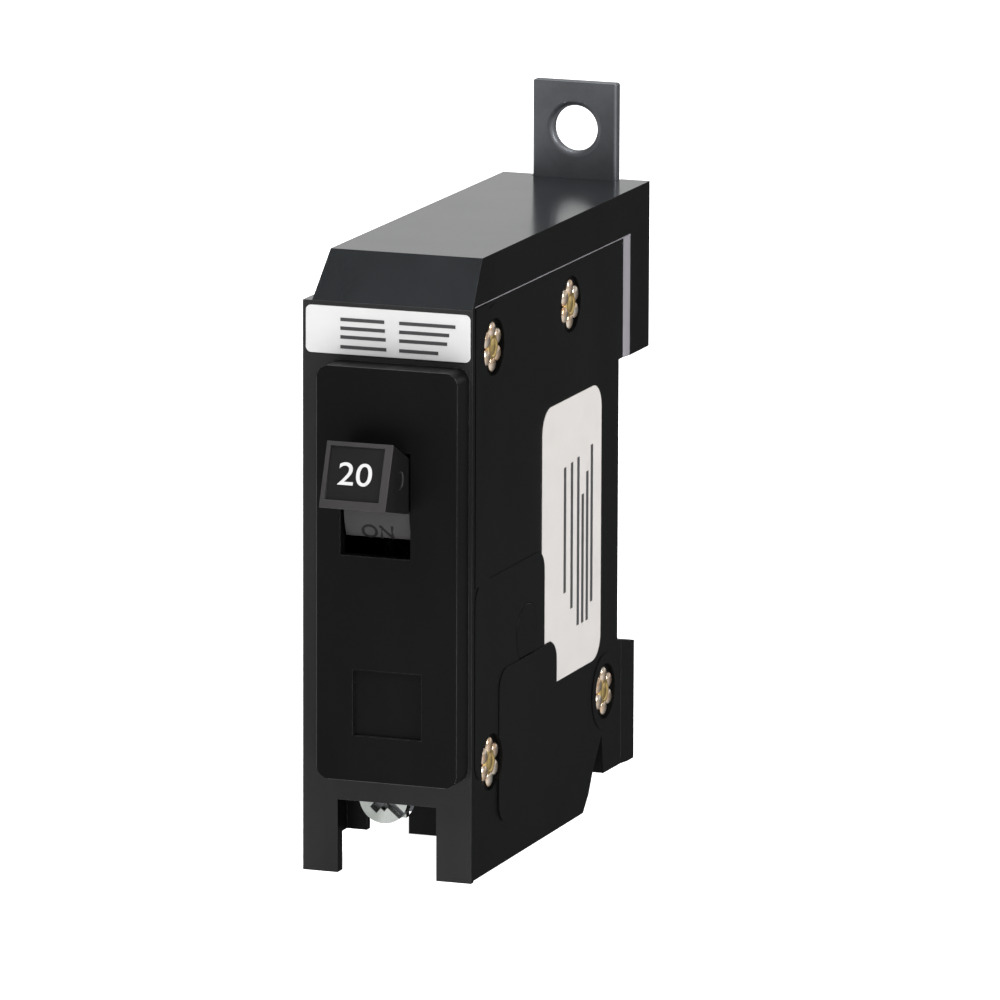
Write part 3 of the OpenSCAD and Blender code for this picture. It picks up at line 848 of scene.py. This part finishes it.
class BREAKER_OT_handle(BreakerOperator, bpy.types.Operator):
    """Round the handle and mark it with its rating and its two words"""

    bl_idname = "breaker.handle"
    bl_label = "Handle"

    def execute(self, context):
        handle = softened("handle", "handle_lever", 0.28 * MM)
        give(handle, "handle_grey", "handle_face", "grip_side_shade_paint")
        pivot = Vector(joint_named("handle_toggle")["pos_m"])
        tilt = math.radians(20)
        out = Vector((0, -math.cos(tilt), math.sin(tilt)))
        up = Vector((0, math.sin(tilt), math.cos(tilt)))
        reach = max((v.co - pivot).dot(out) for v in handle.data.vertices)
        for p in handle.data.polygons:
            depth = (p.center - pivot).dot(out)
            inset = reach - 0.6 * MM < depth < reach - 0.05 * MM
            if inset and abs(p.normal.dot(out)) > 0.9:
                p.material_index = 1
            # The flat sides take the darker black as painted shade.
            elif abs(p.normal.x) > 0.9:
                p.material_index = 2
        stand_for(handle, "handle")

        face = pivot + out * (reach - 0.34 * MM)
        grip_face = Matrix((
            (1, up.x, out.x, face.x), (0, up.y, out.y, face.y), (0, up.z, out.z, face.z), (0, 0, 0, 1)))
        number = self.words("20", 4.6 * MM, "white_ink", 0.0015, 1.15)
        placed(number, grip_face @ Matrix.Translation((-0.30 * MM, 0.1 * MM, 0)))
        on = self.words("ON", 3.0 * MM, "black_ink", 0.006, 1.07)
        off = self.words("OFF", 2.6 * MM, "black_ink", 0.002, 1.0)
        self.wrap(on, pivot, 202.5)
        self.wrap(off, pivot, 124.0)
        for obj in (number, on, off):
            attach(obj, "handle")
        return {"FINISHED"}

    def wrap(self, obj, pivot, middle):
        """Lays a flat word on the round skirt, with its middle at the given angle in degrees."""
        skirt = 9.02 * MM
        for v in obj.data.vertices:
            angle = math.radians(middle) - v.co.y / skirt
            radius = skirt + v.co.z
            v.co = (v.co.x, pivot.y + radius * math.cos(angle), pivot.z + radius * math.sin(angle))

    def words(self, text, size, material, bold, widen):
        """Flat lettering in the XY plane. bold is a share of the size, and widen stretches it along X."""
        curve = bpy.data.curves.new("mark_" + text, "FONT")
        curve.body = text
        curve.size = size
        curve.align_x = "CENTER"
        curve.align_y = "CENTER"
        curve.extrude = 0.02 * MM
        curve.offset = bold * size * 2
        curve.resolution_u = 6
        holder = bpy.data.objects.new("mark_holder", curve)
        bpy.context.scene.collection.objects.link(holder)
        graph = bpy.context.evaluated_depsgraph_get()
        mesh = bpy.data.meshes.new_from_object(holder.evaluated_get(graph), depsgraph=graph)
        bpy.data.objects.remove(holder)
        obj = mesh_object("handle_mark_" + text.lower(), mesh)
        give(obj, material)
        return placed(obj, Matrix.Scale(widen, 4, (1, 0, 0)))


class BREAKER_OT_line_side(BreakerOperator, bpy.types.Operator):
    """Finish the line tongue with its soft stamped edges"""

    bl_idname = "breaker.line_side"
    bl_label = "Line tongue"

    def execute(self, context):
        strap = softened("line_strap", "line_tongue", context.scene.breaker_sizes.strap_radius)
        give(strap, "dull_tin")
        stand_for(strap, "line_strap")
        return {"FINISHED"}


class BREAKER_OT_terminal(BreakerOperator, bpy.types.Operator):
    """Round the terminal screw and its recess, and paint the recess floor darker as painted shade"""

    bl_idname = "breaker.terminal"
    bl_label = "Terminal screw"

    def execute(self, context):
        screw = softened("terminal_screw", "terminal_screw_turned", 0.22 * MM)
        give(screw, "zinc_plate", "rolled_steel")
        low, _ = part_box("terminal_screw")
        for p in screw.data.polygons:
            # Painted shade: the recess floor takes the darker rolled steel instead of the zinc plate.
            recess_floor_shade = low.y + 0.6 * MM < p.center.y < low.y + 1.5 * MM
            if recess_floor_shade and abs(p.normal.y) > 0.9:
                p.material_index = 1
        stand_for(screw, "terminal_screw")
        return {"FINISHED"}


class BREAKER_OT_springs(BreakerOperator, bpy.types.Operator):
    """Wind the toggle spring and the armature spring from round wire"""

    bl_idname = "breaker.springs"
    bl_label = "Springs"

    def execute(self, context):
        tree = coil_tree("spring_wire")
        low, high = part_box("toggle_spring")
        middle = (low + high) / 2
        toggle = grown("toggle_coil", points_mesh("toggle_seed", [(0, 0, 0)]), tree, {
            "Turns": 6.0, "Coil radius": 1.7 * MM, "Length": 9.3 * MM, "Wire radius": 0.28 * MM})
        placed(toggle, Matrix.Translation((middle.x, middle.y, low.z + 1.5 * MM)))
        shade(toggle, 60.0)
        stand_for(toggle, "toggle_spring")
        low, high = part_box("armature_spring")
        middle = (low + high) / 2
        small = grown("armature_coil", points_mesh("armature_seed", [(0, 0, 0)]), tree, {
            "Turns": 3.0, "Coil radius": 1.15 * MM, "Length": 3.2 * MM, "Wire radius": 0.2 * MM})
        along_y = Matrix.Rotation(-math.pi / 2, 4, "X")
        placed(small, Matrix.Translation((middle.x, low.y + 0.2 * MM, middle.z)) @ along_y)
        shade(small, 60.0)
        stand_for(small, "armature_spring")
        return {"FINISHED"}


class BREAKER_OT_braid(BreakerOperator, bpy.types.Operator):
    """Weave the flexible braid between the contact arm and the bimetal"""

    bl_idname = "breaker.braid"
    bl_label = "Flexible braid"

    def execute(self, context):
        low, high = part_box("flexible_braid")
        bend = 2.5 * MM
        near = low.y + 0.9 * MM
        far = high.y - 0.9 * MM
        mid_z = low.z + 7.5 * MM
        points = [Vector((0, near, high.z)), Vector((0, near, mid_z + bend + 2 * MM))]
        quarter = [math.pi / 2 * i / 8 for i in range(9)]
        for a in quarter:
            points.append(Vector((0, near + bend - bend * math.cos(a), mid_z + bend - bend * math.sin(a))))
        for a in quarter:
            points.append(Vector((0, far - bend + bend * math.sin(a), mid_z - bend + bend * math.cos(a))))
        points.append(Vector((0, far, low.z)))
        seed = points_mesh("braid_path", points, [(i, i + 1) for i in range(len(points) - 1)])
        rope = grown("woven_braid", seed, braid_tree(), {})
        shade(rope, 60.0)
        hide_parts("flexible_braid")
        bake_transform(rope)
        return {"FINISHED"}


class BREAKER_OT_arc_plates(BreakerOperator, bpy.types.Operator):
    """Stack the stamped arc plates"""

    bl_idname = "breaker.arc_plates"
    bl_label = "Arc plates"

    def execute(self, context):
        boxes = separate_boxes("arc_plates")
        low, high = boxes[0]
        pitch = boxes[1][0].z - low.z
        half = (high.x - low.x) / 2
        throat = low.y + 4.7 * MM
        gap = 4.5 * MM
        outline = [(-half, low.y), (-gap, low.y), (-gap, throat)]
        for i in range(1, 24):
            a = math.pi * i / 24
            outline.append((-gap * math.cos(a), throat + gap * math.sin(a)))
        outline += [(gap, throat), (gap, low.y), (half, low.y), (half, high.y), (-half, high.y)]
        bm = bmesh.new()
        verts = [bm.verts.new((x, y, low.z)) for x, y in outline]
        face = bm.faces.new(verts)
        lifted = bmesh.ops.extrude_face_region(bm, geom=[face])
        moved = [g for g in lifted["geom"] if isinstance(g, bmesh.types.BMVert)]
        bmesh.ops.translate(bm, verts=moved, vec=(0, 0, high.z - low.z))
        bmesh.ops.recalc_face_normals(bm, faces=bm.faces)
        bmesh.ops.bevel(
            bm, geom=[e for e in bm.edges if e.calc_face_angle(0) > 1.0], offset=0.12 * MM, segments=2,
            affect="EDGES", profile=0.5)
        blank = bpy.data.meshes.new("plate_blank")
        bm.to_mesh(blank)
        bm.free()
        plates = grown("arc_plate_stack", blank, plate_tree(), {"Count": len(boxes), "Pitch": pitch})
        shade(plates, 40.0)
        stand_for(plates, "arc_plates")
        return {"FINISHED"}


# ---------- stage ----------


class BREAKER_OT_stage(BreakerOperator, bpy.types.Operator):
    """Set the camera, the pale floor and the soft lights"""

    bl_idname = "breaker.stage"
    bl_label = "Stage"

    def execute(self, context):
        scene = context.scene
        scene.view_settings.view_transform = "Standard"
        self.camera(scene)
        self.floor()
        self.world(scene)
        self.lamp("key_lamp", (-0.30, -0.70, 1.10), 0.6, 9.0)
        self.lamp("side_lamp", (1.05, -0.25, 0.65), 0.5, 8.0)
        self.lamp("top_lamp", (0.05, 0.35, 1.2), 0.8, 3.0)
        return {"FINISHED"}

    def camera(self, scene):
        data = bpy.data.cameras.new("view_camera")
        data.sensor_width = 36.0
        data.lens = 372.2
        data.clip_start = 0.05
        data.clip_end = 50.0
        obj = bpy.data.objects.new("view_camera", data)
        obj.location = (0.5068, -1.3575, 0.3387)
        obj.rotation_euler = [math.radians(a) for a in (78.6810, -0.1902, 20.2961)]
        scene.collection.objects.link(obj)
        scene.camera = obj

    def floor(self):
        bm = bmesh.new()
        bmesh.ops.create_grid(bm, x_segments=8, y_segments=8, size=6.0)
        mesh = bpy.data.meshes.new("pale_floor")
        bm.to_mesh(mesh)
        bm.free()
        obj = mesh_object("pale_floor", mesh)
        tree, bsdf = shader("floor_paint", Roughness=0.9, Specular_IOR_Level=0.1, Emission_Strength=1.0)
        bsdf.inputs["Emission Color"].default_value = (1, 1, 1, 1)
        tone = blend_colours(tree, object_noise(tree, 3.0), (0.90, 0.90, 0.90), (0.92, 0.92, 0.92))
        tree.links.new(tone, bsdf.inputs["Base Color"])
        give(obj, "floor_paint")
        obj.visible_glossy = False

    def world(self, scene):
        """Soft light that is dim in front and bright low down behind, with a plain white backdrop."""
        world = bpy.data.worlds.new("studio")
        world.use_nodes = True
        tree = world.node_tree
        back = tree.nodes["Background"]
        coords = node_in(tree, "ShaderNodeTexCoord")
        split = node_in(tree, "ShaderNodeSeparateXYZ")
        height = node_in(tree, "ShaderNodeMapRange")
        height.inputs["From Min"].default_value = -1.0
        behind = node_in(tree, "ShaderNodeMapRange")
        rays = node_in(tree, "ShaderNodeLightPath")
        tree.links.new(coords.outputs["Generated"], split.inputs[0])
        tree.links.new(split.outputs["Z"], height.inputs["Value"])
        tree.links.new(split.outputs["Y"], behind.inputs["Value"])
        rise = height.outputs["Result"]
        before = self.sky(tree, rise, (0.0, 0.85), (0.44, 0.85), (0.52, 0.22), (0.86, 0.22), (0.95, 1.0))
        beyond = self.sky(
            tree, rise, (0.5, 0.03), (0.525, 1.0), (0.6, 0.85), (0.63, 0.5), (0.725, 0.45), (0.86, 0.45),
            (0.95, 1.0))
        dim = blend_colours(tree, behind.outputs["Result"], before, beyond)
        seen = blend_colours(tree, rays.outputs["Is Camera Ray"], dim, (1, 1, 1))
        tree.links.new(seen, back.inputs["Color"])
        back.inputs["Strength"].default_value = 1.0
        scene.world = world

    def sky(self, tree, rise, first, *others):
        """Grey that changes with height, from straight down at 0 to straight up at 1."""
        ramp = node_in(tree, "ShaderNodeValToRGB")
        stops = ramp.color_ramp.elements
        stops.remove(stops[1])
        stops[0].position = first[0]
        stops[0].color = (first[1],) * 3 + (1,)
        for position, value in others:
            stops.new(position).color = (value,) * 3 + (1,)
        tree.links.new(rise, ramp.inputs[0])
        return ramp.outputs[0]

    def lamp(self, name, place, size, power):
        data = bpy.data.lights.new(name, "AREA")
        data.shape = "DISK"
        data.size = size
        data.energy = power
        obj = bpy.data.objects.new(name, data)
        obj.location = place
        aim = Vector((0, 0, 0.05)) - Vector(place)
        obj.rotation_euler = aim.to_track_quat("-Z", "Y").to_euler()
        obj.visible_glossy = name != "key_lamp"
        bpy.context.scene.collection.objects.link(obj)


class BREAKER_PT_panel(bpy.types.Panel):
    """Sizes, colours and pieces of the breaker"""

    bl_idname = "BREAKER_PT_panel"
    bl_label = "Circuit breaker"
    bl_space_type = "VIEW_3D"
    bl_region_type = "UI"
    bl_category = "Breaker"

    def draw(self, context):
        layout = self.layout
        for group in (context.scene.breaker_looks, context.scene.breaker_sizes):
            box = layout.box()
            for key in group.__annotations__:
                box.prop(group, key)
        for operator in PIECES:
            layout.operator(operator.bl_idname)


PIECES = (
    BREAKER_OT_stage,
    BREAKER_OT_materials,
    BREAKER_OT_case,
    BREAKER_OT_rivets,
    BREAKER_OT_labels,
    BREAKER_OT_handle,
    BREAKER_OT_line_side,
    BREAKER_OT_terminal,
    BREAKER_OT_springs,
    BREAKER_OT_braid,
    BREAKER_OT_arc_plates,
)
CLASSES = (BreakerLooks, BreakerSizes, *PIECES, BREAKER_PT_panel)


def register():
    for c in CLASSES:
        bpy.utils.register_class(c)
    bpy.types.Scene.breaker_looks = bpy.props.PointerProperty(type=BreakerLooks)
    bpy.types.Scene.breaker_sizes = bpy.props.PointerProperty(type=BreakerSizes)


def unregister():
    del bpy.types.Scene.breaker_looks
    del bpy.types.Scene.breaker_sizes
    for c in reversed(CLASSES):
        bpy.utils.unregister_class(c)


def main():
    register()
    bpy.ops.breaker.stage()
    bpy.ops.breaker.materials()
    bpy.ops.breaker.case()
    bpy.ops.breaker.rivets()
    bpy.ops.breaker.labels()
    bpy.ops.breaker.handle()
    bpy.ops.breaker.line_side()
    bpy.ops.breaker.terminal()
    bpy.ops.breaker.springs()
    bpy.ops.breaker.braid()
    bpy.ops.breaker.arc_plates()


if __name__ == "__main__":
    main()
